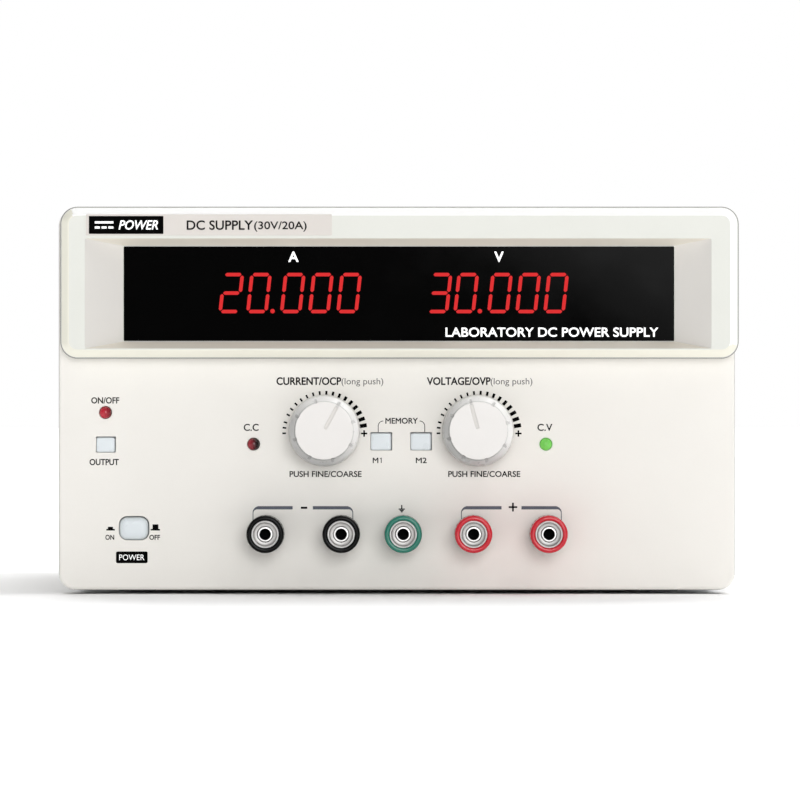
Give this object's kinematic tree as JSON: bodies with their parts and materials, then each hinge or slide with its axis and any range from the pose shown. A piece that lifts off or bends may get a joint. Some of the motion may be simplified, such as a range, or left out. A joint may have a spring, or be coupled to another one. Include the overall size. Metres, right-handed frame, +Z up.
{
  "type": "bench power supply",
  "caption": "Bench DC power supply: moulded front with a proud display hood, push-turn knobs, push buttons and screw-down binding posts, vented steel case, rear fan and mains inlet.",
  "frame": {"origin": "bottom centre of the bounding box, on the surface that the feet stand on", "axes": "+Z up, +Y from the front panel to the rear, +X to the viewer's right when facing the front"},
  "size_m": [0.2554, 0.3214, 0.1455],
  "materials": {
    "ivory_plastic": "fine matt moulding",
    "hood_plastic": "satin moulding",
    "window_black": "polished dark filter",
    "label_film": "printed film",
    "case_paint": "fine textured powder coat",
    "tray_steel": "plain zinc-plated sheet",
    "foot_rubber": "matt",
    "display_black": "satin",
    "board_green": "solder mask",
    "knob_plastic": "satin moulding",
    "turned_steel": "turned",
    "key_plastic": "satin moulding",
    "black_plastic": "fine matt moulding",
    "lamp_red": "clear tinted lens",
    "lamp_dark_red": "clear tinted lens",
    "lamp_green": "clear tinted lens",
    "post_nickel": "bright nickel plate",
    "cap_black": "polished moulding",
    "cap_green": "polished moulding",
    "cap_red": "polished moulding",
    "bright_wire": "plated wire",
    "selector_red": "moulded",
    "core_iron": "varnished laminations",
    "heat_sink_aluminium": "extruded",
    "capacitor_sleeve": "shrink sleeve"
  },
  "bodies": {
    "case": {"front_panel": "ivory_plastic", "display_hood": "hood_plastic", "display_window": "window_black", "rating_label": "label_film", "top_cover": "case_paint", "bottom_tray": "tray_steel", "rear_panel": "case_paint", "foot_front_left": "foot_rubber", "foot_front_right": "foot_rubber", "foot_rear_left": "foot_rubber", "foot_rear_right": "foot_rubber", "current_display": "display_black", "voltage_display": "display_black", "display_board": "board_green", "current_encoder_body": "turned_steel", "voltage_encoder_body": "turned_steel", "power_switch": "black_plastic", "output_led": "lamp_red", "cc_led": "lamp_dark_red", "cv_led": "lamp_green", "control_board": "board_green", "terminal_insulator": "black_plastic", "fan_frame": "black_plastic", "fan_guard": "bright_wire", "mains_inlet": "black_plastic", "voltage_selector": "black_plastic", "transformer": "core_iron", "heat_sink": "heat_sink_aluminium", "main_board": "board_green", "filter_capacitor_1": "capacitor_sleeve", "filter_capacitor_2": "capacitor_sleeve", "bridge_rectifier": "black_plastic", "negative_1_stud": "post_nickel", "negative_2_stud": "post_nickel", "ground_stud": "post_nickel", "positive_1_stud": "post_nickel", "positive_2_stud": "post_nickel"},
    "current_push": {"current_encoder_plunger": "turned_steel"},
    "current_turn": {"current_knob": "knob_plastic", "current_encoder_shaft": "turned_steel"},
    "voltage_push": {"voltage_encoder_plunger": "turned_steel"},
    "voltage_turn": {"voltage_knob": "knob_plastic", "voltage_encoder_shaft": "turned_steel"},
    "output_key": {"output_button": "key_plastic"},
    "memory_1_key": {"memory_1_button": "key_plastic"},
    "memory_2_key": {"memory_2_button": "key_plastic"},
    "power_key": {"power_button": "key_plastic"},
    "negative_1_washer_ring": {"negative_1_washer": "post_nickel"},
    "negative_1_screw_cap": {"negative_1_cap": "cap_black"},
    "negative_2_washer_ring": {"negative_2_washer": "post_nickel"},
    "negative_2_screw_cap": {"negative_2_cap": "cap_black"},
    "ground_washer_ring": {"ground_washer": "post_nickel"},
    "ground_screw_cap": {"ground_cap": "cap_green"},
    "positive_1_washer_ring": {"positive_1_washer": "post_nickel"},
    "positive_1_screw_cap": {"positive_1_cap": "cap_red"},
    "positive_2_washer_ring": {"positive_2_washer": "post_nickel"},
    "positive_2_screw_cap": {"positive_2_cap": "cap_red"},
    "fan_wheel": {"fan_rotor": "black_plastic"},
    "fuse_tray": {"fuse_drawer": "black_plastic"},
    "selector_key": {"selector_slider": "selector_red"}
  },
  "joints": [
    {"name": "current_knob_push", "type": "slide", "parent": "case", "child": "current_push", "axis": [0, 1, 0], "range_m": [0, 0.0015], "stiffness_N_per_m": 800, "springref_m": -0.001},
    {"name": "current_knob_turn", "type": "hinge", "parent": "current_push", "child": "current_turn", "pos_m": [-0.0277, -0.1423, 0.0615], "axis": [0, 1, 0], "continuous": true},
    {"name": "voltage_knob_push", "type": "slide", "parent": "case", "child": "voltage_push", "axis": [0, 1, 0], "range_m": [0, 0.0015], "stiffness_N_per_m": 800, "springref_m": -0.001},
    {"name": "voltage_knob_turn", "type": "hinge", "parent": "voltage_push", "child": "voltage_turn", "pos_m": [0.03, -0.1423, 0.0615], "axis": [0, 1, 0], "continuous": true},
    {"name": "output_press", "type": "slide", "parent": "case", "child": "output_key", "axis": [0, 1, 0], "range_m": [0, 0.001], "stiffness_N_per_m": 600, "springref_m": -0.001},
    {"name": "memory_1_press", "type": "slide", "parent": "case", "child": "memory_1_key", "axis": [0, 1, 0], "range_m": [0, 0.001], "stiffness_N_per_m": 600, "springref_m": -0.001},
    {"name": "memory_2_press", "type": "slide", "parent": "case", "child": "memory_2_key", "axis": [0, 1, 0], "range_m": [0, 0.001], "stiffness_N_per_m": 600, "springref_m": -0.001},
    {"name": "power_release", "type": "slide", "parent": "case", "child": "power_key", "axis": [0, -1, 0], "range_m": [-0.0005, 0.0035]},
    {"name": "negative_1_lift", "type": "slide", "parent": "case", "child": "negative_1_washer_ring", "axis": [0, -1, 0], "range_m": [0, 0.00525]},
    {"name": "negative_1_unscrew", "type": "hinge", "parent": "negative_1_washer_ring", "child": "negative_1_screw_cap", "pos_m": [-0.0497, -0.1423, 0.0228], "axis": [0, -1, 0], "range_deg": [0, 1900]},
    {"name": "negative_2_lift", "type": "slide", "parent": "case", "child": "negative_2_washer_ring", "axis": [0, -1, 0], "range_m": [0, 0.00525]},
    {"name": "negative_2_unscrew", "type": "hinge", "parent": "negative_2_washer_ring", "child": "negative_2_screw_cap", "pos_m": [-0.0213, -0.1423, 0.0228], "axis": [0, -1, 0], "range_deg": [0, 1900]},
    {"name": "ground_lift", "type": "slide", "parent": "case", "child": "ground_washer_ring", "axis": [0, -1, 0], "range_m": [0, 0.00525]},
    {"name": "ground_unscrew", "type": "hinge", "parent": "ground_washer_ring", "child": "ground_screw_cap", "pos_m": [0.0019, -0.1423, 0.0228], "axis": [0, -1, 0], "range_deg": [0, 1900]},
    {"name": "positive_1_lift", "type": "slide", "parent": "case", "child": "positive_1_washer_ring", "axis": [0, -1, 0], "range_m": [0, 0.00525]},
    {"name": "positive_1_unscrew", "type": "hinge", "parent": "positive_1_washer_ring", "child": "positive_1_screw_cap", "pos_m": [0.0282, -0.1423, 0.0228], "axis": [0, -1, 0], "range_deg": [0, 1900]},
    {"name": "positive_2_lift", "type": "slide", "parent": "case", "child": "positive_2_washer_ring", "axis": [0, -1, 0], "range_m": [0, 0.00525]},
    {"name": "positive_2_unscrew", "type": "hinge", "parent": "positive_2_washer_ring", "child": "positive_2_screw_cap", "pos_m": [0.0564, -0.1423, 0.0228], "axis": [0, -1, 0], "range_deg": [0, 1900]},
    {"name": "fan_spin", "type": "hinge", "parent": "case", "child": "fan_wheel", "pos_m": [-0.062, 0.1427, 0.0755], "axis": [0, 1, 0], "continuous": true},
    {"name": "fuse_slide", "type": "slide", "parent": "case", "child": "fuse_tray", "axis": [0, 1, 0], "range_m": [0, 0.018]},
    {"name": "selector_slide", "type": "slide", "parent": "case", "child": "selector_key", "axis": [1, 0, 0], "range_m": [0, 0.006]}
  ],
  "couplings": [
    {"joint": "negative_1_unscrew", "follows": "negative_1_lift", "rad_per_m": 6283.2},
    {"joint": "negative_2_unscrew", "follows": "negative_2_lift", "rad_per_m": 6283.2},
    {"joint": "ground_unscrew", "follows": "ground_lift", "rad_per_m": 6283.2},
    {"joint": "positive_1_unscrew", "follows": "positive_1_lift", "rad_per_m": 6283.2},
    {"joint": "positive_2_unscrew", "follows": "positive_2_lift", "rad_per_m": 6283.2}
  ]
}
